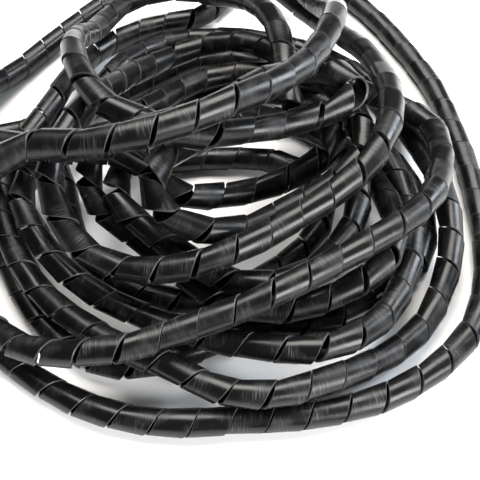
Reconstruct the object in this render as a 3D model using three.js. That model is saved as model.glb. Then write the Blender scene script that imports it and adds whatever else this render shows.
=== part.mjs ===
import * as THREE from 'three';

// A length of spiral cable wrap, lying as a loose heap of loops on a level floor.
// The wrap is one round polyethylene tube, cut in a helix along its whole length.
// Millimetres, +Z up, floor at Z = 0.

// Driving dimensions
const outerDiameter = 10;
const strandClearance = 0.35;
const archRadius = 50;
const selfContactLength = 30;

// Fineness of the solid
const sectionSides = 8;
const spanDivisions = 8;
const stationSpacing = 6;
const stepLength = 12;
const settlingRounds = 40;
const easingPasses = 6;

// The route in plan, in the order in which the wrap runs through the heap.
// A stretch with a higher layer lies over every stretch with a lower one that it crosses.
const route = [
  {
    name: 'near end, on the floor',
    layer: 0,
    points: [
      [-36, 35], [-24, 38], [-10, 39], [4, 39], [17, 37], [28, 30], [34, 19], [33, 6], [25, -7],
      [12, -19], [-5, -28], [-22, -31], [-38, -27], [-51, -20], [-62, -9], [-69, 6], [-73, 21],
      [-79, 34], [-90, 39], [-99, 32], [-101, 20],
    ],
  },
  {
    name: 'floor loop at the left',
    layer: 0,
    points: [
      [-99, 6], [-93, -10], [-84, -26], [-70, -44], [-54, -55], [-39, -58], [-22, -54], [-4, -46],
      [14, -41], [31, -41], [45, -35], [55, -29],
    ],
  },
  {
    name: 'floor loop at the back',
    layer: 0,
    points: [
      [65, -20], [72, -9], [75, 4], [73, 19], [67, 35], [58, 51], [43, 73], [23, 92], [-1, 101],
      [-22, 99], [-44, 85], [-66, 70], [-92, 57], [-118, 48], [-140, 34], [-148, 14], [-141, -6],
      [-126, -23], [-107, -39],
    ],
  },
  {
    name: 'front edge of the heap',
    layer: 0,
    points: [
      [-88, -52], [-68, -66], [-48, -75], [-26, -79], [0, -78], [26, -76], [50, -70], [70, -59],
      [86, -43],
    ],
  },
  {
    name: 'right edge of the heap',
    layer: 0,
    points: [
      [95, -22], [98, 0], [98, 30], [95, 53], [90, 80], [79, 108], [65, 134], [50, 153],
      [34, 166], [16, 171], [2, 162],
    ],
  },
  {
    name: 'second loop, back and left',
    layer: 1,
    points: [
      [-8, 146], [-20, 132], [-36, 127], [-52, 120], [-66, 108], [-75, 87], [-81, 64], [-88, 46],
      [-94, 28], [-94, 10], [-90, -6], [-82, -21], [-70, -36], [-54, -48], [-37, -58],
    ],
  },
  {
    name: 'second loop, front and right',
    layer: 1,
    points: [
      [-25, -62], [-10, -70], [10, -73], [30, -67], [50, -57], [67, -43], [78, -24], [83, -3],
      [82, 17], [78, 38], [73, 56],
    ],
  },
  {
    name: 'third loop, back and left',
    layer: 2,
    points: [
      [65, 76], [52, 94], [33, 106], [11, 114], [-12, 116], [-32, 111], [-48, 96], [-60, 74],
      [-69, 52], [-78, 34], [-84, 17], [-84, 2], [-77, -11], [-67, -24], [-53, -34], [-38, -41],
    ],
  },
  {
    name: 'third loop, front and right',
    layer: 2,
    points: [
      [-25, -47], [-8, -53], [8, -56], [25, -58], [40, -53], [52, -43], [61, -28], [66, -10],
      [67, 8], [63, 28], [54, 46],
    ],
  },
  {
    name: 'fourth loop, back and left',
    layer: 3,
    points: [
      [42, 61], [25, 72], [5, 79], [-14, 77], [-33, 66], [-49, 46], [-64, 30], [-80, 24],
      [-97, 28], [-114, 28], [-128, 20], [-135, 6], [-132, -11], [-121, -27], [-106, -39],
    ],
  },
  {
    name: 'strand that slants across the front',
    layer: 5.5,
    points: [
      [-88, -48], [-77, -56], [-62, -61], [-48, -62], [-37, -61], [-25, -57], [-13, -53],
      [-3, -50], [8, -46], [20, -40], [33, -32], [46, -24], [58, -16], [69, -5], [77, 11],
      [81, 28], [80, 43], [71, 55],
    ],
  },
  {
    name: 'fifth loop',
    layer: 4,
    points: [
      [56, 64], [38, 72], [19, 77], [1, 79], [-13, 76], [-26, 66], [-37, 50], [-48, 34],
      [-57, 19], [-58, 7], [-51, -2], [-41, -8], [-30, -17], [-19, -28], [-7, -37], [8, -41],
      [24, -40], [40, -34], [52, -26], [58, -13], [57, 4], [51, 24],
    ],
  },
  {
    name: 'sixth loop',
    layer: 5,
    points: [
      [42, 44], [28, 57], [10, 63], [-7, 58], [-23, 45], [-37, 28], [-46, 12], [-45, -3],
      [-35, -13], [-21, -24], [-6, -34], [9, -36], [22, -32], [33, -22], [43, -7], [46, 12],
      [41, 30], [29, 44], [13, 48], [-1, 39],
    ],
  },
  {
    name: 'small bend in the middle',
    layer: 7,
    points: [
      [-9, 20], [-16, 13], [-26, 4], [-30, -4], [-30, -12], [-27, -18], [-20, -21], [-13, -22],
      [-4, -20], [5, -16], [15, -9], [24, -4], [36, 3], [44, 11],
    ],
  },
  {
    name: 'eighth loop, back',
    layer: 7.5,
    points: [
      [47, 21], [42, 38], [33, 56], [20, 74], [4, 86], [-14, 91], [-31, 85], [-44, 66], [-53, 43],
      [-60, 23],
    ],
  },
  {
    name: 'eighth loop, left, front and right',
    layer: 8,
    points: [
      [-67, -1], [-66, -11], [-62, -19], [-57, -26], [-50, -30], [-39, -34], [-26, -36],
      [-14, -35], [-3, -31], [8, -25], [17, -19], [27, -13], [37, -6], [46, 2], [53, 14],
      [57, 27], [59, 50], [57, 74], [49, 98],
    ],
  },
  {
    name: 'back edge of the heap',
    layer: 8,
    points: [
      [37, 122], [24, 140], [6, 155], [-15, 164], [-38, 163], [-57, 153], [-72, 138], [-83, 124],
      [-93, 110], [-103, 95], [-113, 79], [-122, 62], [-126, 44], [-121, 28], [-107, 19],
    ],
  },
  {
    name: 'inner bend at the right',
    layer: 6,
    points: [
      [-90, 16], [-71, 14], [-53, 13], [-41, 9], [-30, 2], [-25, -2], [-17, -2], [-8, 2], [2, 5],
      [12, 8], [21, 11], [29, 15], [35, 21], [37, 29], [32, 37], [22, 38],
    ],
  },
  {
    name: 'small loop at the back',
    layer: 9,
    points: [
      [19, 52], [18, 65], [15, 82], [8, 101], [-3, 120], [-18, 134], [-37, 140], [-53, 134],
      [-62, 119], [-66, 101], [-67, 82], [-66, 63], [-63, 46], [-57, 31], [-49, 20], [-39, 14],
      [-29, 9],
    ],
  },
  {
    name: 'upper bend at the right',
    layer: 9,
    points: [
      [-21, 4], [-12, 5], [-2, 10], [9, 15], [22, 20], [33, 23], [40, 27], [43, 33], [39, 39],
    ],
  },
  {
    name: 'strand under the top one',
    layer: 9.5,
    points: [
      [28, 41], [17, 36], [8, 27], [-1, 15], [-11, 5], [-23, 0], [-36, -3], [-48, -4], [-64, -3],
      [-80, 1], [-97, 6], [-114, 6], [-130, -2], [-138, -17], [-133, -34], [-118, -42],
      [-102, -36], [-88, -24],
    ],
  },
  {
    name: 'top strand and the far end',
    layer: 10,
    points: [
      [-76, -13], [-68, -10], [-60, -10], [-52, -12], [-43, -12], [-33, -11], [-21, -8], [-9, -2],
      [4, 7], [16, 20], [26, 35], [32, 49], [37, 66], [39, 89], [36, 112], [27, 133], [12, 150],
      [-6, 166], [-27, 177], [-50, 181], [-74, 177], [-136, 153],
    ],
  },
];

// Sizes that follow from the driving ones
const tubeRadius = outerDiameter / 2;
const cornerRadius = tubeRadius / Math.cos(Math.PI / sectionSides);
const strandSpacing = 2 * cornerRadius + strandClearance;

// The plan route as a fine line, each of its points with the layer of its stretch
function finePlanLine() {
  const corners = [];
  const layers = [];
  for (const stretch of route) {
    for (const [x, y] of stretch.points) {
      corners.push(new THREE.Vector3(x, y, 0));
      layers.push(stretch.layer);
    }
  }
  const curve = new THREE.CatmullRomCurve3(corners, false, 'centripetal');
  const pieces = (corners.length - 1) * spanDivisions;
  const line = [];
  for (let i = 0; i <= pieces; i += 1) {
    const point = curve.getPoint(i / pieces);
    const layer = layers[Math.min(Math.floor(i / spanDivisions), corners.length - 1)];
    line.push({ point, layer });
  }
  return line;
}

// Stations an equal distance apart in plan, each knowing its way along the route
function evenStations(line) {
  const reached = [0];
  for (let i = 1; i < line.length; i += 1) {
    reached.push(reached[i - 1] + line[i].point.distanceTo(line[i - 1].point));
  }
  const planLength = reached[reached.length - 1];
  const count = Math.max(2, Math.round(planLength / stationSpacing) + 1);
  const stations = [];
  let piece = 0;
  for (let i = 0; i < count; i += 1) {
    const along = (planLength * i) / (count - 1);
    while (piece < line.length - 2 && reached[piece + 1] < along) {
      piece += 1;
    }
    const share = (along - reached[piece]) / (reached[piece + 1] - reached[piece]);
    const point = line[piece].point.clone().lerp(line[piece + 1].point, share);
    stations.push({ x: point.x, y: point.y, z: tubeRadius, along, layer: line[piece].layer });
  }
  return stations;
}

// For each station, the lower-lying stations that it crosses over, and by how much it clears them
function crossingsOf(stations) {
  return stations.map((upper, i) => {
    const under = [];
    stations.forEach((lower, j) => {
      const apart = Math.hypot(upper.x - lower.x, upper.y - lower.y);
      const above = lower.layer < upper.layer || (lower.layer === upper.layer && j < i);
      const elsewhere = Math.abs(upper.along - lower.along) > selfContactLength;
      if (above && elsewhere && apart < strandSpacing) {
        under.push({ j, rise: Math.sqrt(strandSpacing ** 2 - apart ** 2) });
      }
    });
    return under;
  });
}

// Each strand rests on the floor or on what it crosses, and leaves its supports in a round arch
function layDown(stations) {
  const crossings = crossingsOf(stations);
  const last = stations.length - 1;
  for (let round = 0; round < settlingRounds; round += 1) {
    const held = crossings.map((under) =>
      under.reduce((high, { j, rise }) => Math.max(high, stations[j].z + rise), tubeRadius));
    for (const station of stations) {
      station.z = stations.reduce((high, other, j) => {
        const drop = (station.along - other.along) ** 2 / (2 * archRadius);
        return Math.max(high, held[j] - drop);
      }, tubeRadius);
    }
    for (let pass = 0; pass < easingPasses; pass += 1) {
      const heights = stations.map(({ z }) => z);
      for (let i = 1; i < last; i += 1) {
        stations[i].z = Math.max(heights[i], (heights[i - 1] + heights[i + 1]) / 2);
      }
    }
  }
}

// The heap stands over the origin: the middle of its plan is at X = 0, Y = 0
function centreOverOrigin(stations) {
  const box = new THREE.Box2();
  stations.forEach(({ x, y }) => box.expandByPoint(new THREE.Vector2(x, y)));
  const middle = box.getCenter(new THREE.Vector2());
  for (const station of stations) {
    station.x -= middle.x;
    station.y -= middle.y;
  }
}

// The centreline of the wrap, with sections that stay upright, so that it lies on flat facets
class LaidCentreline extends THREE.Curve {
  constructor(stations) {
    super();
    this.stations = stations.map(({ x, y, z }) => new THREE.Vector3(x, y, z));
  }

  getPoint(t, target = new THREE.Vector3()) {
    const last = this.stations.length - 1;
    const place = Math.min(Math.max(t, 0), 1) * last;
    const i = Math.min(Math.floor(place), last - 1);
    return target.lerpVectors(this.stations[i], this.stations[i + 1], place - i);
  }

  getPointAt(u, target) {
    return this.getPoint(u, target);
  }

  computeFrenetFrames(segments) {
    const up = new THREE.Vector3(0, 0, 1);
    const tangents = [];
    const normals = [];
    const binormals = [];
    for (let i = 0; i <= segments; i += 1) {
      const before = this.getPoint(Math.max(i - 0.5, 0) / segments);
      const after = this.getPoint(Math.min(i + 0.5, segments) / segments);
      const tangent = after.sub(before).normalize();
      const side = new THREE.Vector3().crossVectors(up, tangent).normalize();
      tangents.push(tangent);
      normals.push(side);
      binormals.push(new THREE.Vector3().crossVectors(tangent, side));
    }
    return { tangents, normals, binormals };
  }

  length() {
    return this.stations.reduce((sum, point, i, all) => (
      i === 0 ? 0 : sum + point.distanceTo(all[i - 1])), 0);
  }
}

// The outline of the wrap: a regular polygon round the tube, with a flat facet below
function tubeSection() {
  const outline = new THREE.Shape();
  for (let i = 0; i < sectionSides; i += 1) {
    const angle = ((i + 0.5) * 2 * Math.PI) / sectionSides - Math.PI / 2;
    const x = cornerRadius * Math.cos(angle);
    const y = cornerRadius * Math.sin(angle);
    if (i === 0) {
      outline.moveTo(x, y);
    } else {
      outline.lineTo(x, y);
    }
  }
  outline.closePath();
  return outline;
}

function spiralWrap() {
  const stations = evenStations(finePlanLine());
  layDown(stations);
  centreOverOrigin(stations);
  const centreline = new LaidCentreline(stations);
  const geometry = new THREE.ExtrudeGeometry(tubeSection(), {
    steps: Math.round(centreline.length() / stepLength),
    bevelEnabled: false,
    extrudePath: centreline,
  });
  const blackPolyethylene = new THREE.MeshStandardMaterial({
    color: 0x0d0d0e,
    roughness: 0.3,
    metalness: 0,
  });
  const mesh = new THREE.Mesh(geometry, blackPolyethylene);
  mesh.name = 'spiral_wrap';
  return mesh;
}

const group = new THREE.Group();
group.add(spiralWrap());

export default group;
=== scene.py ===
# %% [markdown]
# # A heap of spiral cable wrap
#
# Spiral cable wrap is a round polyethylene tube that has been cut in a helix from end to end,
# so that it winds round a bundle of cables. Here six metres of it lie in a loose heap. That
# solid is a plain tube. This lesson gives it the real form: one long strip with its cut, its
# wall and its gloss.

# %% Load the frame
import math
import bmesh
import bpy
import numpy as np
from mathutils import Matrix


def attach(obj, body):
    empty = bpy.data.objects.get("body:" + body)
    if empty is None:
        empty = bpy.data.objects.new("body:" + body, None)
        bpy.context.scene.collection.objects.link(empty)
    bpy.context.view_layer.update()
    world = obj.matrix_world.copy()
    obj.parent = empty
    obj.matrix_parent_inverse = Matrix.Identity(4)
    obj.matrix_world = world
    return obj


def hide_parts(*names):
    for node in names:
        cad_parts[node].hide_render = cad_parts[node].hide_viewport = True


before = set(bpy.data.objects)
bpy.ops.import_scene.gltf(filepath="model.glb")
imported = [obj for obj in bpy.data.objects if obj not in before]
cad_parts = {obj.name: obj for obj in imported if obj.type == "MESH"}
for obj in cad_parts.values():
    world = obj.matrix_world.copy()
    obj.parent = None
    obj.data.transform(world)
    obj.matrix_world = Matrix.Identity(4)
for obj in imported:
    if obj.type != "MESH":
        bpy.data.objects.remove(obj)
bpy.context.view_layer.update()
print("nodes in the frame:", list(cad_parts))

# %% [markdown]
# ## Sizes of the wrap
#
# The tube is 10 mm outside with a wall of 1 mm. The helical cut leaves a band of 12.7 mm
# between two cuts, a little less than one turn of the helix, so a hairline stays open.
# All lengths below are in millimetres and are turned into metres when a mesh is finished.

# %% Sizes
MM = 0.001
OUTER_DIAMETER = 10.0
WALL = 1.0
BAND_WIDTH = 12.7
PITCH = 13.3
EDGE_ROUNDING = 0.15
outer_radius = OUTER_DIAMETER / 2
inner_radius = outer_radius - WALL

# %% [markdown]
# ## The route of the heap
#
# A heap like this can be simulated, but a simulation never falls into the loops of one
# photograph. So the route is given in plan, point by point, as a cord on a table is laid:
# each stretch has a layer, and a stretch of a higher layer lies over the lower ones.
# These are the points of the solid model, in the order in which the wrap runs.

# %% Route points in plan
ROUTE = [
    ("near end, on the floor", 0, [
        (-36, 35), (-24, 38), (-10, 39), (4, 39), (17, 37), (28, 30), (34, 19), (33, 6), (25, -7),
        (12, -19), (-5, -28), (-22, -31), (-38, -27), (-51, -20), (-62, -9), (-69, 6), (-73, 21),
        (-79, 34), (-90, 39), (-99, 32), (-101, 20),
    ]),
    ("floor loop at the left", 0, [
        (-99, 6), (-93, -10), (-84, -26), (-70, -44), (-54, -55), (-39, -58), (-22, -54),
        (-4, -46), (14, -41), (31, -41), (45, -35), (55, -29),
    ]),
    ("floor loop at the back", 0, [
        (65, -20), (72, -9), (75, 4), (73, 19), (67, 35), (58, 51), (43, 73), (23, 92), (-1, 101),
        (-22, 99), (-44, 85), (-66, 70), (-92, 57), (-118, 48), (-140, 34), (-148, 14),
        (-141, -6), (-126, -23), (-107, -39),
    ]),
    ("front edge of the heap", 0, [
        (-88, -52), (-68, -66), (-48, -75), (-26, -79), (0, -78), (26, -76), (50, -70), (70, -59),
        (86, -43),
    ]),
    ("right edge of the heap", 0, [
        (95, -22), (98, 0), (98, 30), (95, 53), (90, 80), (79, 108), (65, 134), (50, 153),
        (34, 166), (16, 171), (2, 162),
    ]),
    ("second loop, back and left", 1, [
        (-8, 146), (-20, 132), (-36, 127), (-52, 120), (-66, 108), (-75, 87), (-81, 64),
        (-88, 46), (-94, 28), (-94, 10), (-90, -6), (-82, -21), (-70, -36), (-54, -48),
        (-37, -58),
    ]),
    ("second loop, front and right", 1, [
        (-25, -62), (-10, -70), (10, -73), (30, -67), (50, -57), (67, -43), (78, -24), (83, -3),
        (82, 17), (78, 38), (73, 56),
    ]),
    ("third loop, back and left", 2, [
        (65, 76), (52, 94), (33, 106), (11, 114), (-12, 116), (-32, 111), (-48, 96), (-60, 74),
        (-69, 52), (-78, 34), (-84, 17), (-84, 2), (-77, -11), (-67, -24), (-53, -34), (-38, -41),
    ]),
    ("third loop, front and right", 2, [
        (-25, -47), (-8, -53), (8, -56), (25, -58), (40, -53), (52, -43), (61, -28), (66, -10),
        (67, 8), (63, 28), (54, 46),
    ]),
    ("fourth loop, back and left", 3, [
        (42, 61), (25, 72), (5, 79), (-14, 77), (-33, 66), (-49, 46), (-64, 30), (-80, 24),
        (-97, 28), (-114, 28), (-128, 20), (-135, 6), (-132, -11), (-121, -27), (-106, -39),
    ]),
    ("strand that slants across the front", 5.5, [
        (-88, -48), (-77, -56), (-62, -61), (-48, -62), (-37, -61), (-25, -57), (-13, -53),
        (-3, -50), (8, -46), (20, -40), (33, -32), (46, -24), (58, -16), (69, -5), (77, 11),
        (81, 28), (80, 43), (71, 55),
    ]),
    ("fifth loop", 4, [
        (56, 64), (38, 72), (19, 77), (1, 79), (-13, 76), (-26, 66), (-37, 50), (-48, 34),
        (-57, 19), (-58, 7), (-51, -2), (-41, -8), (-30, -17), (-19, -28), (-7, -37), (8, -41),
        (24, -40), (40, -34), (52, -26), (58, -13), (57, 4), (51, 24),
    ]),
    ("sixth loop", 5, [
        (42, 44), (28, 57), (10, 63), (-7, 58), (-23, 45), (-37, 28), (-46, 12), (-45, -3),
        (-35, -13), (-21, -24), (-6, -34), (9, -36), (22, -32), (33, -22), (43, -7), (46, 12),
        (41, 30), (29, 44), (13, 48), (-1, 39),
    ]),
    ("small bend in the middle", 7, [
        (-9, 20), (-16, 13), (-26, 4), (-30, -4), (-30, -12), (-27, -18), (-20, -21), (-13, -22),
        (-4, -20), (5, -16), (15, -9), (24, -4), (36, 3), (44, 11),
    ]),
    ("eighth loop, back", 7.5, [
        (47, 21), (42, 38), (33, 56), (20, 74), (4, 86), (-14, 91), (-31, 85), (-44, 66),
        (-53, 43), (-60, 23),
    ]),
    ("eighth loop, left, front and right", 8, [
        (-67, -1), (-66, -11), (-62, -19), (-57, -26), (-50, -30), (-39, -34), (-26, -36),
        (-14, -35), (-3, -31), (8, -25), (17, -19), (27, -13), (37, -6), (46, 2), (53, 14),
        (57, 27), (59, 50), (57, 74), (49, 98),
    ]),
    ("back edge of the heap", 8, [
        (37, 122), (24, 140), (6, 155), (-15, 164), (-38, 163), (-57, 153), (-72, 138),
        (-83, 124), (-93, 110), (-103, 95), (-113, 79), (-122, 62), (-126, 44), (-121, 28),
        (-107, 19),
    ]),
    ("inner bend at the right", 6, [
        (-90, 16), (-71, 14), (-53, 13), (-41, 9), (-30, 2), (-25, -2), (-17, -2), (-8, 2),
        (2, 5), (12, 8), (21, 11), (29, 15), (35, 21), (37, 29), (32, 37), (22, 38),
    ]),
    ("small loop at the back", 9, [
        (19, 52), (18, 65), (15, 82), (8, 101), (-3, 120), (-18, 134), (-37, 140), (-53, 134),
        (-62, 119), (-66, 101), (-67, 82), (-66, 63), (-63, 46), (-57, 31), (-49, 20), (-39, 14),
        (-29, 9),
    ]),
    ("upper bend at the right", 9, [
        (-21, 4), (-12, 5), (-2, 10), (9, 15), (22, 20), (33, 23), (40, 27), (43, 33), (39, 39),
    ]),
    ("strand under the top one", 9.5, [
        (28, 41), (17, 36), (8, 27), (-1, 15), (-11, 5), (-23, 0), (-36, -3), (-48, -4),
        (-64, -3), (-80, 1), (-97, 6), (-114, 6), (-130, -2), (-138, -17), (-133, -34),
        (-118, -42), (-102, -36), (-88, -24),
    ]),
    ("top strand and the far end", 10, [
        (-76, -13), (-68, -10), (-60, -10), (-52, -12), (-43, -12), (-33, -11), (-21, -8),
        (-9, -2), (4, 7), (16, 20), (26, 35), (32, 49), (37, 66), (39, 89), (36, 112), (27, 133),
        (12, 150), (-6, 166), (-27, 177), (-50, 181), (-74, 177), (-136, 153),
    ]),
]
print("stretches:", len(ROUTE), "points:", sum(len(points) for _, _, points in ROUTE))

# %% [markdown]
# ## A smooth line through the points
#
# A centripetal Catmull-Rom curve passes through every point and makes no small loops where
# points lie close together. The solid model uses the same curve, so both lie in one place.

# %% Plan line
SPAN_DIVISIONS = 8
STATION_SPACING = 6.0


def curve_through(corners, divisions):
    padded = np.vstack([2 * corners[0] - corners[1], corners, 2 * corners[-1] - corners[-2]])
    line = []
    for i in range(len(corners) - 1):
        a, b, c, d = padded[i:i + 4]
        ab, bc, cd = (np.linalg.norm(q - p) ** 0.5 for p, q in ((a, b), (b, c), (c, d)))
        leave_b = ((b - a) / ab - (c - a) / (ab + bc) + (c - b) / bc) * bc
        reach_c = ((c - b) / bc - (d - b) / (bc + cd) + (d - c) / cd) * bc
        for k in range(divisions):
            t = k / divisions
            line.append(
                (2 * t**3 - 3 * t**2 + 1) * b + (t**3 - 2 * t**2 + t) * leave_b
                + (3 * t**2 - 2 * t**3) * c + (t**3 - t**2) * reach_c
            )
    line.append(corners[-1])
    return np.array(line)


corners = np.array([point for _, _, points in ROUTE for point in points], float)
corner_layers = np.array([layer for _, layer, points in ROUTE for _ in points])
plan_line = curve_through(corners, SPAN_DIVISIONS)
line_layers = np.repeat(corner_layers, SPAN_DIVISIONS)[:len(plan_line)]
reached = np.append(0, np.cumsum(np.linalg.norm(np.diff(plan_line, axis=0), axis=1)))
station_count = round(reached[-1] / STATION_SPACING) + 1
along = np.linspace(0, reached[-1], station_count)
plan = np.column_stack([np.interp(along, reached, plan_line[:, k]) for k in (0, 1)])
pieces = np.clip(np.searchsorted(reached, along) - 1, 0, len(line_layers) - 1)
layers = line_layers[pieces]
print("length in plan:", round(reached[-1]), "mm, stations:", station_count)

# %% [markdown]
# ## Laying the strands on each other
#
# Plan and layer are enough to find the heights. A strand that crosses a lower one lies on top
# of it, and a springy tube cannot drop at once, so it leaves its support in a round arch.
# The arches lift other strands in turn, so the rule is repeated until nothing moves.

# %% Heights
SECTION_SIDES = 8
STRAND_CLEARANCE = 0.35
ARCH_RADIUS = 50.0
SELF_CONTACT_LENGTH = 30.0
SETTLING_ROUNDS = 40
EASING_PASSES = 6
strand_spacing = OUTER_DIAMETER / math.cos(math.pi / SECTION_SIDES) + STRAND_CLEARANCE
apart_squared = ((plan[:, None] - plan[None]) ** 2).sum(-1)
way_between = np.abs(along[:, None] - along[None])
rank = layers * 100000 + np.arange(station_count)
crosses = (apart_squared < strand_spacing**2) & (way_between > SELF_CONTACT_LENGTH)
crosses &= rank[None, :] < rank[:, None]
rise = np.sqrt(np.maximum(strand_spacing**2 - apart_squared, 0))
drop = way_between**2 / (2 * ARCH_RADIUS)
heights = np.full(station_count, outer_radius)
for settling in range(SETTLING_ROUNDS):
    before = heights
    resting = np.where(crosses, heights[None, :] + rise, outer_radius).max(axis=1)
    heights = np.maximum((resting[None, :] - drop).max(axis=1), outer_radius)
    for easing in range(EASING_PASSES):
        middle = (heights[:-2] + heights[2:]) / 2
        heights[1:-1] = np.maximum(heights[1:-1], middle)
    if np.abs(heights - before).max() < 1e-9:
        break
print("rounds:", settling + 1, "highest centre:", round(heights.max(), 1), "mm")

# %% [markdown]
# The heap stands over the origin, so the middle of its plan is moved there.

# %% Stations of the centreline
heap_middle = (plan.min(axis=0) + plan.max(axis=0)) / 2
stations = np.column_stack([plan - heap_middle, heights])
true_length = np.linalg.norm(np.diff(stations, axis=0), axis=1).sum()
print("heap middle:", heap_middle.round(2), "true length:", round(true_length), "mm")

# %% [markdown]
# ## The camera
#
# The photograph looks down on the heap from the front, close to it, so near strands look
# thicker than far ones. The distance follows from how much thicker they look, and the tilt
# from how flat the loops look. The lens length is set against a 36 mm sensor.

# %% Camera
CAMERA_HEIGHT = 252.0
CAMERA_TILT = math.radians(56)
FOCAL_PIXELS = 744.0
PHOTO_PIXELS = 480.0
SENSOR_WIDTH = 36.0
camera_back = CAMERA_HEIGHT / math.tan(CAMERA_TILT)
camera_data = bpy.data.cameras.new("camera")
camera_data.sensor_width = SENSOR_WIDTH
camera_data.lens = FOCAL_PIXELS / PHOTO_PIXELS * SENSOR_WIDTH
camera_data.clip_start = 0.01
camera_data.clip_end = 20
camera = bpy.data.objects.new("camera", camera_data)
camera.location = (
    -heap_middle[0] * MM, (-camera_back - heap_middle[1]) * MM, CAMERA_HEIGHT * MM
)
camera.rotation_euler = (math.pi / 2 - CAMERA_TILT, 0, 0)
bpy.context.scene.collection.objects.link(camera)
bpy.context.scene.camera = camera
print("lens:", round(camera_data.lens, 1), "mm")

# %% [markdown]
# ## One turn of the strip
#
# The strip's section is a thin rectangle, 12.7 mm along the tube and 1 mm thick, with its
# outer corners just broken. Spinning that section while it also moves along the axis draws
# a helix. The wrap in the picture leans like a slash on a strand that runs from left to
# right, which is a left-handed helix, so the spin turns the negative way.

# %% Spin one turn
STEPS_PER_TURN = 20
half_band = BAND_WIDTH / 2
section = [
    (outer_radius, -half_band + EDGE_ROUNDING),
    (outer_radius, half_band - EDGE_ROUNDING),
    (outer_radius - EDGE_ROUNDING, half_band),
    (inner_radius + EDGE_ROUNDING, half_band),
    (inner_radius, half_band - EDGE_ROUNDING),
    (inner_radius, -half_band + EDGE_ROUNDING),
    (inner_radius + EDGE_ROUNDING, -half_band),
    (outer_radius - EDGE_ROUNDING, -half_band),
]
turn = bmesh.new()
ring = [turn.verts.new((radius, 0, across)) for radius, across in section]
outline = [turn.edges.new((a, b)) for a, b in zip(ring, ring[1:] + ring[:1])]
bmesh.ops.spin(
    turn, geom=ring + outline, cent=(0, 0, 0), axis=(0, 0, 1),
    dvec=(0, 0, PITCH / STEPS_PER_TURN), angle=-2 * math.pi, steps=STEPS_PER_TURN,
)
strip_mesh = bpy.data.meshes.new("spiral_strip")
turn.to_mesh(strip_mesh)
turn.free()
print("vertices in one turn:", len(strip_mesh.vertices))

# %% [markdown]
# ## How the pitch opens in a bend
#
# In a bend the bands meet on the inner side and push each other along, so the helix gets
# longer there and its cuts gape on the outer side. The pitch at each place follows from how
# tight the bend is. A slow, small variation keeps the heap from looking machine made.

# %% A fine centreline
FINE_SPACING = 1.0
SMOOTHING_WIDTH = 7
RUN_OUT = 14.0
first_way = stations[0] - stations[1]
last_way = stations[-1] - stations[-2]
run_in = stations[0] + first_way / np.linalg.norm(first_way) * RUN_OUT
run_off = stations[-1] + last_way / np.linalg.norm(last_way) * RUN_OUT
long_line = np.vstack([run_in, stations, run_off])
long_reach = np.append(0, np.cumsum(np.linalg.norm(np.diff(long_line, axis=0), axis=1)))
fine_way = np.arange(0, long_reach[-1], FINE_SPACING)
fine = np.column_stack([np.interp(fine_way, long_reach, long_line[:, k]) for k in range(3)])
window = np.ones(SMOOTHING_WIDTH) / SMOOTHING_WIDTH
for smoothing in range(2):
    for k in range(3):
        margin = SMOOTHING_WIDTH // 2
        fine[margin:-margin, k] = np.convolve(fine[:, k], window, mode="valid")
fine_way = np.append(0, np.cumsum(np.linalg.norm(np.diff(fine, axis=0), axis=1))) - RUN_OUT
tangents = np.gradient(fine, fine_way, axis=0)
tangents /= np.linalg.norm(tangents, axis=1)[:, None]
sides = np.cross((0, 0, 1), tangents)
sides /= np.linalg.norm(sides, axis=1)[:, None]
ups = np.cross(tangents, sides)
curvature = np.gradient(tangents, fine_way, axis=0)
print("fine points:", len(fine), "tightest bend:",
      round(1 / np.linalg.norm(curvature, axis=1).max(), 1), "mm")

# %% Pitch along the wrap
CUT_CLEARANCE = 0.15
WIDEST_PITCH = 1.25
BEND_SHARE = 0.6
MOST_BENDING = 0.6
PITCH_VARIATION = 0.015
BLEND_REACH = 20
WAVE_LENGTHS = (23, 41, 67)
CHANCE_SEED = 7
bend = np.linalg.norm(curvature, axis=1)
bending = np.minimum(outer_radius * bend, MOST_BENDING)
closed_pitch = (BAND_WIDTH + CUT_CLEARANCE) / (1 - BEND_SHARE * bending)
pitch_here = np.clip(closed_pitch, PITCH, WIDEST_PITCH * PITCH)
pitch_window = np.hanning(2 * BLEND_REACH + 1)
pitch_here = np.convolve(
    np.pad(pitch_here, BLEND_REACH, mode="edge"), pitch_window / pitch_window.sum(), mode="valid"
)
chance = np.random.default_rng(CHANCE_SEED)
waves = sum(
    np.sin(fine_way / length + chance.uniform(0, 2 * math.pi)) for length in WAVE_LENGTHS
)
pitch_here *= 1 + PITCH_VARIATION * waves
turns_here = np.append(0, np.cumsum(np.diff(fine_way) / pitch_here[1:]))
turns_here -= np.interp(-half_band, fine_way, turns_here)
strip_end = fine_way[-1] - RUN_OUT
turn_total = np.interp(strip_end, fine_way, turns_here)
print("turns:", round(turn_total, 1), "pitch:", pitch_here.min().round(1), "to",
      pitch_here.max().round(1), "mm")

# %% [markdown]
# ## The whole strip, still straight
#
# An Array modifier repeats the turn and merges the seams, which is much quicker than
# spinning hundreds of turns. Then both ends are cut square across the tube, as scissors
# leave them, and the cut faces are filled.

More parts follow.
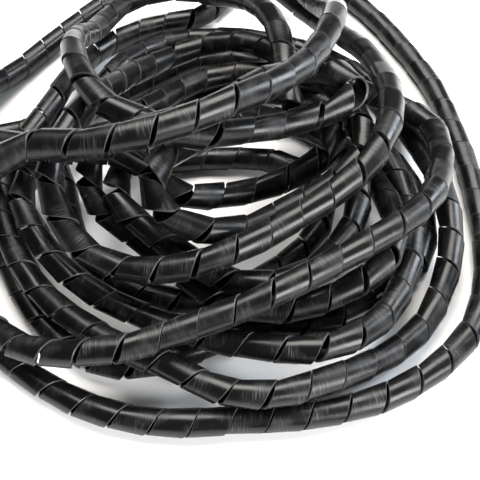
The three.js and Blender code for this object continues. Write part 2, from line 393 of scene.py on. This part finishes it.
# %% Repeat the turn and cut the ends
spiral_wrap = bpy.data.objects.new("wrap_strip", strip_mesh)
bpy.context.scene.collection.objects.link(spiral_wrap)
array = spiral_wrap.modifiers.new("turns", "ARRAY")
array.count = math.ceil(turn_total) + 1
array.use_relative_offset = False
array.use_constant_offset = True
array.constant_offset_displace = (0, 0, PITCH)
array.use_merge_vertices = True
array.merge_threshold = 0.001
bpy.context.view_layer.update()
repeated = spiral_wrap.evaluated_get(bpy.context.evaluated_depsgraph_get())
strip = bmesh.new()
strip.from_mesh(repeated.to_mesh())
repeated.to_mesh_clear()
spiral_wrap.modifiers.clear()
for cut_height, outward in ((half_band, -1), (turn_total * PITCH, 1)):
    everything = strip.verts[:] + strip.edges[:] + strip.faces[:]
    cut = bmesh.ops.bisect_plane(
        strip, geom=everything, dist=1e-4, plane_co=(0, 0, cut_height),
        plane_no=(0, 0, outward), clear_outer=True,
    )
    cut_edges = [e for e in cut["geom_cut"] if isinstance(e, bmesh.types.BMEdge)]
    bmesh.ops.edgenet_fill(strip, edges=cut_edges)
bmesh.ops.recalc_face_normals(strip, faces=strip.faces[:])
open_edges = [e for e in strip.edges if not e.is_manifold]
strip.to_mesh(strip_mesh)
strip.free()
print("vertices:", len(strip_mesh.vertices), "open edges:", len(open_edges))

# %% [markdown]
# ## Bending the strip along the heap
#
# Every point of the straight strip has an angle round the tube, a turn and a place across
# the band. The middle of the band is put on the bent centreline, and the band stays straight
# across, along the local direction. That is how the real wrap bends: each band keeps its
# round form and the cuts take up the bend, so the heap shows facets, not a smooth hose.
# One edge of the band sinks a little, by up to half a millimetre and not the same everywhere,
# because neighbouring bands push each other out of line. That gives each its own highlight.

# %% Bend
EDGE_SINK = 0.5
SINK_STEP = 2.4
NARROWEST_SQUEEZE = 0.35
flat = np.empty(len(strip_mesh.vertices) * 3)
strip_mesh.vertices.foreach_get("co", flat)
flat = flat.reshape(-1, 3)
angle = np.arctan2(flat[:, 1], flat[:, 0])
radius = np.hypot(flat[:, 0], flat[:, 1])
winding = np.mod(-angle, 2 * math.pi) / (2 * math.pi)
turn_number = np.round(flat[:, 2] / PITCH - winding)
turns = winding + turn_number
across = flat[:, 2] - turns * PITCH
way = np.interp(turns, turns_here, fine_way)
sink = EDGE_SINK * (1 + np.sin(SINK_STEP * turns)) / 2
radius -= sink * (half_band - across) / BAND_WIDTH


def at_way(values):
    return np.column_stack([np.interp(way, fine_way, values[:, k]) for k in range(3)])


side_way = at_way(sides)
up_way = at_way(ups)
tangent_way = at_way(tangents)
outward_way = side_way * np.cos(angle)[:, None] + up_way * np.sin(angle)[:, None]
stretch = 1 - outer_radius * (at_way(curvature) * outward_way).sum(axis=1)
room = np.interp(way, fine_way, pitch_here) * stretch - CUT_CLEARANCE
squeeze = np.clip(room / BAND_WIDTH, NARROWEST_SQUEEZE, 1)
placed = at_way(fine) + outward_way * radius[:, None]
placed += tangent_way * (across * squeeze)[:, None]
strip_mesh.vertices.foreach_set("co", (placed * MM).ravel())
print("narrowest squeeze:", squeeze.min().round(2))

# %% [markdown]
# The finish follows the strip, so each point keeps its place on it: how far along the tube,
# how far round it, and how near the cut. The material reads these from one attribute.

# %% Places on the strip
SHARP_ANGLE = math.radians(30)
skin = strip_mesh.attributes.new("skin", "FLOAT_VECTOR", "POINT")
along_tube = turns * PITCH + across
around_tube = turns * 2 * math.pi * outer_radius
skin.data.foreach_set("vector", np.column_stack([along_tube, around_tube, across]).ravel())
strip_mesh.update()
strip_mesh.shade_smooth()
strip_mesh.set_sharp_from_angle(angle=SHARP_ANGLE)
triangles = sum(len(face.vertices) - 2 for face in strip_mesh.polygons)
print("triangles:", triangles)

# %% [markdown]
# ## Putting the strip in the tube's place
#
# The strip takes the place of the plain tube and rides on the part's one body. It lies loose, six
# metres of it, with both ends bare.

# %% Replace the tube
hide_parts("spiral_wrap")
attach(spiral_wrap, "root")
print("piece:", spiral_wrap.name)

# %% [markdown]
# ## Handling scratches
#
# The wrap is wound, bagged and pulled about, so its gloss carries fine light scratches, most
# of them across the strand, in patches. Noise that is stretched round the tube makes the
# lines, and a second, coarse noise says where they lie. A node group gives the mask.

# %% Scratch group
def add_socket(group, name, kind, in_out, value=None):
    socket = group.interface.new_socket(name=name, in_out=in_out, socket_type=kind)
    if value is not None:
        socket.default_value = value
    return socket


def add_node(tree, kind, x, y, **settings):
    node = tree.nodes.new(kind)
    node.location = (x, y)
    for name, value in settings.items():
        setattr(node, name, value)
    return node


def stretched_noise(tree, vector, scale, detail, x, y):
    stretch = add_node(tree, "ShaderNodeMapping", x, y)
    stretch.inputs["Scale"].default_value = scale
    tree.links.new(vector, stretch.inputs["Vector"])
    noise = add_node(tree, "ShaderNodeTexNoise", x + 200, y)
    noise.inputs["Scale"].default_value = 1.0
    noise.inputs["Detail"].default_value = detail
    tree.links.new(stretch.outputs["Vector"], noise.inputs["Vector"])
    return noise.outputs["Fac"]


def band_mask(tree, value, low, high, x, y):
    ramp = add_node(tree, "ShaderNodeMapRange", x, y, interpolation_type="SMOOTHSTEP")
    ramp.inputs["From Min"].default_value = low
    ramp.inputs["From Max"].default_value = high
    tree.links.new(value, ramp.inputs["Value"])
    return ramp.outputs["Result"]


SCRATCH_STRETCH = (5.0, 0.12, 0.0)
PATCH_STRETCH = (0.09, 0.13, 0.0)
scratch_group = bpy.data.node_groups.new("Handling scratches", "ShaderNodeTree")
add_socket(scratch_group, "Place", "NodeSocketVector", "INPUT")
add_socket(scratch_group, "Amount", "NodeSocketFloat", "INPUT", 1.0)
add_socket(scratch_group, "Scratches", "NodeSocketFloat", "OUTPUT")
add_socket(scratch_group, "Haze", "NodeSocketFloat", "OUTPUT")
inside = add_node(scratch_group, "NodeGroupInput", -700, 0)
outside = add_node(scratch_group, "NodeGroupOutput", 700, 0)
strip_place = inside.outputs["Place"]
lines = stretched_noise(scratch_group, strip_place, SCRATCH_STRETCH, 2.0, -500, 200)
patches = stretched_noise(scratch_group, strip_place, PATCH_STRETCH, 1.0, -500, -200)
line_mask = band_mask(scratch_group, lines, 0.52, 0.72, -50, 200)
patch_mask = band_mask(scratch_group, patches, 0.40, 0.66, -50, -200)
both = add_node(scratch_group, "ShaderNodeMath", 150, 100, operation="MULTIPLY")
scratch_group.links.new(line_mask, both.inputs[0])
scratch_group.links.new(patch_mask, both.inputs[1])
amount = add_node(scratch_group, "ShaderNodeMath", 350, 100, operation="MULTIPLY")
scratch_group.links.new(both.outputs[0], amount.inputs[0])
scratch_group.links.new(inside.outputs["Amount"], amount.inputs[1])
scratch_group.links.new(amount.outputs[0], outside.inputs["Scratches"])
scratch_group.links.new(patch_mask, outside.inputs["Haze"])
print("group:", scratch_group.name)

# %% [markdown]
# ## Lines from the die
#
# The tube is pushed out of a round die, and tiny faults in it draw lines along the tube.
# They are far finer than the scratches and only show as a brushed look in the highlights.
# Slow swells in the wall bend the highlights a little. Both are heights for a bump.

# %% Extrusion group
DIE_LINE_STRETCH = (0.03, 2.4, 0.0)
RIPPLE_STRETCH = (2.6, 0.12, 0.0)
SWELL_STRETCH = (0.16, 0.22, 0.0)
DIE_LINE_SHARE = 0.25
SWELL_SHARE = 3.0
extrusion_group = bpy.data.node_groups.new("Extruded skin", "ShaderNodeTree")
add_socket(extrusion_group, "Place", "NodeSocketVector", "INPUT")
add_socket(extrusion_group, "Height", "NodeSocketFloat", "OUTPUT")
inside = add_node(extrusion_group, "NodeGroupInput", -700, 0)
outside = add_node(extrusion_group, "NodeGroupOutput", 500, 0)
strip_place = inside.outputs["Place"]
die_lines = stretched_noise(extrusion_group, strip_place, DIE_LINE_STRETCH, 2.0, -500, 200)
ripples = stretched_noise(extrusion_group, strip_place, RIPPLE_STRETCH, 1.0, -500, 0)
swells = stretched_noise(extrusion_group, strip_place, SWELL_STRETCH, 0.0, -500, -200)
fine_sum = add_node(extrusion_group, "ShaderNodeMath", 0, 100, operation="MULTIPLY_ADD")
extrusion_group.links.new(die_lines, fine_sum.inputs[0])
fine_sum.inputs[1].default_value = DIE_LINE_SHARE
extrusion_group.links.new(ripples, fine_sum.inputs[2])
height_sum = add_node(extrusion_group, "ShaderNodeMath", 200, 0, operation="MULTIPLY_ADD")
extrusion_group.links.new(swells, height_sum.inputs[0])
height_sum.inputs[1].default_value = SWELL_SHARE
extrusion_group.links.new(fine_sum.outputs[0], height_sum.inputs[2])
extrusion_group.links.new(height_sum.outputs[0], outside.inputs["Height"])
print("group:", extrusion_group.name)

# %% [markdown]
# ## Black polyethylene
#
# Polyethylene is waxy: its gloss is soft and a little uneven. The black comes from carbon,
# so the colour is nearly nothing and the look is all highlight. Scratches and the freshly
# cut edges scatter light and read as thin grey lines.

# %% Material
SKIN_COLOUR = (0.003, 0.003, 0.0033, 1)
SCRATCH_COLOUR = (0.13, 0.13, 0.132, 1)
EDGE_COLOUR = (0.05, 0.05, 0.051, 1)
polyethylene = bpy.data.materials.new("Black polyethylene")
polyethylene.use_nodes = True
tree = polyethylene.node_tree
shader = tree.nodes["Principled BSDF"]
shader.inputs["IOR"].default_value = 1.45
shader.inputs["Specular IOR Level"].default_value = 0.30
place = add_node(tree, "ShaderNodeAttribute", -1100, 0, attribute_name="skin")
scratches = add_node(tree, "ShaderNodeGroup", -850, 200, node_tree=scratch_group)
scratches.inputs["Amount"].default_value = 0.5
skin_height = add_node(tree, "ShaderNodeGroup", -850, -200, node_tree=extrusion_group)
tree.links.new(place.outputs["Vector"], scratches.inputs["Place"])
tree.links.new(place.outputs["Vector"], skin_height.inputs["Place"])
parts = add_node(tree, "ShaderNodeSeparateXYZ", -850, 0)
tree.links.new(place.outputs["Vector"], parts.inputs["Vector"])
from_middle = add_node(tree, "ShaderNodeMath", -650, 0, operation="ABSOLUTE")
tree.links.new(parts.outputs["Z"], from_middle.inputs[0])
edge_mask = band_mask(tree, from_middle.outputs[0], half_band - 0.3, half_band, -450, 0)
scratched = add_node(tree, "ShaderNodeMix", -250, 250, data_type="RGBA")
scratched.inputs["A"].default_value = SKIN_COLOUR
scratched.inputs["B"].default_value = SCRATCH_COLOUR
tree.links.new(scratches.outputs["Scratches"], scratched.inputs["Factor"])
edged = add_node(tree, "ShaderNodeMix", -50, 200, data_type="RGBA")
edged.inputs["B"].default_value = EDGE_COLOUR
tree.links.new(scratched.outputs["Result"], edged.inputs["A"])
tree.links.new(edge_mask, edged.inputs["Factor"])
tree.links.new(edged.outputs["Result"], shader.inputs["Base Color"])
roughness = add_node(tree, "ShaderNodeMapRange", -250, -50)
roughness.inputs["To Min"].default_value = 0.26
roughness.inputs["To Max"].default_value = 0.40
tree.links.new(scratches.outputs["Haze"], roughness.inputs["Value"])
tree.links.new(roughness.outputs["Result"], shader.inputs["Roughness"])
bump = add_node(tree, "ShaderNodeBump", -250, -300)
bump.inputs["Strength"].default_value = 0.45
bump.inputs["Distance"].default_value = 0.00005
tree.links.new(skin_height.outputs["Height"], bump.inputs["Height"])
tree.links.new(bump.outputs["Normal"], shader.inputs["Normal"])
strip_mesh.materials.append(polyethylene)
print("material:", polyethylene.name)

# %% [markdown]
# ## The floor
#
# The heap lies on a plain white ground that runs on behind it. A large plane with a dull
# white finish takes the soft contact shadow and nothing else.

# %% Floor
FLOOR_REACH = 3.0
floor_mesh = bpy.data.meshes.new("floor")
floor_form = bmesh.new()
bmesh.ops.create_grid(floor_form, x_segments=1, y_segments=1, size=FLOOR_REACH)
floor_form.to_mesh(floor_mesh)
floor_form.free()
floor = bpy.data.objects.new("floor", floor_mesh)
bpy.context.scene.collection.objects.link(floor)
white_ground = bpy.data.materials.new("White ground")
white_ground.use_nodes = True
ground_shader = white_ground.node_tree.nodes["Principled BSDF"]
ground_shader.inputs["Base Color"].default_value = (0.86, 0.86, 0.86, 1)
ground_shader.inputs["Roughness"].default_value = 0.9
ground_shader.inputs["Specular IOR Level"].default_value = 0.1
floor_mesh.materials.append(white_ground)
print("floor:", 2 * FLOOR_REACH, "m wide")

# %% [markdown]
# ## Light
#
# Three softboxes and a dim room. The large, warm one hangs above and behind, and draws the
# broad grey sheen along the tops. A low one at the front right gives the bright bands on
# strands that run away to the right, and a cool one at the right edges the strands there.

# %% Lights
def softbox(name, place, aim, width, height, power, colour):
    data = bpy.data.lights.new(name, "AREA")
    data.shape = "RECTANGLE"
    data.size = width
    data.size_y = height
    data.energy = power
    data.color = colour
    light = bpy.data.objects.new(name, data)
    light.location = place
    way = np.array(aim) - np.array(place)
    pan = math.atan2(way[0], -way[1])
    tip = math.atan2(math.hypot(way[0], way[1]), -way[2])
    light.rotation_euler = (tip, 0, pan + math.pi)
    bpy.context.scene.collection.objects.link(light)
    return light


HEAP = (0.0, 0.0, 0.03)
softbox("softbox above", (-0.05, 0.38, 0.98), HEAP, 0.9, 0.6, 29, (1.0, 0.965, 0.92))
softbox("softbox front right", (0.75, -0.85, 0.50), HEAP, 0.65, 0.55, 30, (1, 1, 1))
softbox("softbox right", (0.8, 0.25, 0.5), HEAP, 0.40, 0.50, 16, (0.86, 0.93, 1.0))
world = bpy.data.worlds.new("dim room")
bpy.context.scene.world = world
world.use_nodes = True
world.node_tree.nodes["Background"].inputs["Color"].default_value = (1, 1, 1, 1)
world.node_tree.nodes["Background"].inputs["Strength"].default_value = 0.08
bpy.context.scene.view_settings.view_transform = "Standard"
